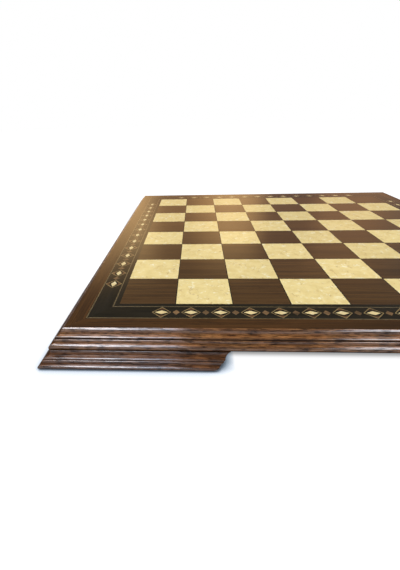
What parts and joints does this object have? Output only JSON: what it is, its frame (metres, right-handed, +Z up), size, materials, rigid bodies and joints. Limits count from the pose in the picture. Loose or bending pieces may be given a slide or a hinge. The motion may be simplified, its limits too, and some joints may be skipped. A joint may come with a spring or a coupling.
{
  "type": "chessboard",
  "caption": "Square inlaid chessboard of walnut and mother-of-pearl with a lozenge border, on a moulded frame with bracket feet.",
  "frame": {"origin": "middle of the board, at the level of the table that its felt discs stand on", "axes": "+Z up, +X to the right and +Y away from the player who has the dark square at the near left corner"},
  "size_m": [0.46, 0.46, 0.0246],
  "materials": {
    "square_walnut": "dark walnut veneer, fine straight grain, clear gloss lacquer",
    "pearl": "cream mother-of-pearl sheet with paler flakes, polished",
    "ebonised": "black-stained hardwood, clear gloss lacquer",
    "brass_line": "thin brass let in flush, dulled under lacquer",
    "motif_wood": "light brown hardwood, clear lacquer",
    "rim_walnut": "dark walnut veneer with its grain along the rim, clear gloss lacquer",
    "moulding": "orange-brown streaky hardwood moulding, high gloss lacquer",
    "foot_moulding": "the same hardwood in deeper shade, high gloss lacquer",
    "plywood": "birch plywood, sanded",
    "backing": "plain brown balancing veneer, thin matt lacquer",
    "beech": "pressed beech, bare",
    "block_wood": "softwood, bare",
    "screw_steel": "zinc-plated steel",
    "felt": "dark green wool felt"
  },
  "bodies": {
    "root": {"walnut_squares": "square_walnut", "pearl_squares": "pearl", "long_strings": "ebonised", "short_strings": "ebonised", "fillet_front": "ebonised", "fillet_right": "ebonised", "fillet_back": "ebonised", "fillet_left": "ebonised", "inner_line_front": "brass_line", "inner_line_right": "brass_line", "inner_line_back": "brass_line", "inner_line_left": "brass_line", "band_front": "ebonised", "band_right": "ebonised", "band_back": "ebonised", "band_left": "ebonised", "lozenge_outlines": "brass_line", "lozenge_fields": "ebonised", "apex_triangles": "motif_wood", "pearl_lozenges": "pearl", "small_diamonds": "motif_wood", "outer_line_front": "brass_line", "outer_line_right": "brass_line", "outer_line_back": "brass_line", "outer_line_left": "brass_line", "rim_front": "rim_walnut", "rim_right": "rim_walnut", "rim_back": "rim_walnut", "rim_left": "rim_walnut", "core_panel": "plywood", "backing_veneer": "backing", "rail_front": "moulding", "rail_right": "moulding", "rail_back": "moulding", "rail_left": "moulding", "biscuits": "beech", "corner_blocks": "block_wood", "block_screws": "screw_steel", "foot_front_left": "foot_moulding", "foot_front_right": "foot_moulding", "foot_right_front": "foot_moulding", "foot_right_back": "foot_moulding", "foot_back_right": "foot_moulding", "foot_back_left": "foot_moulding", "foot_left_back": "foot_moulding", "foot_left_front": "foot_moulding", "foot_screws": "screw_steel", "felt_discs": "felt"}
  },
  "joints": []
}
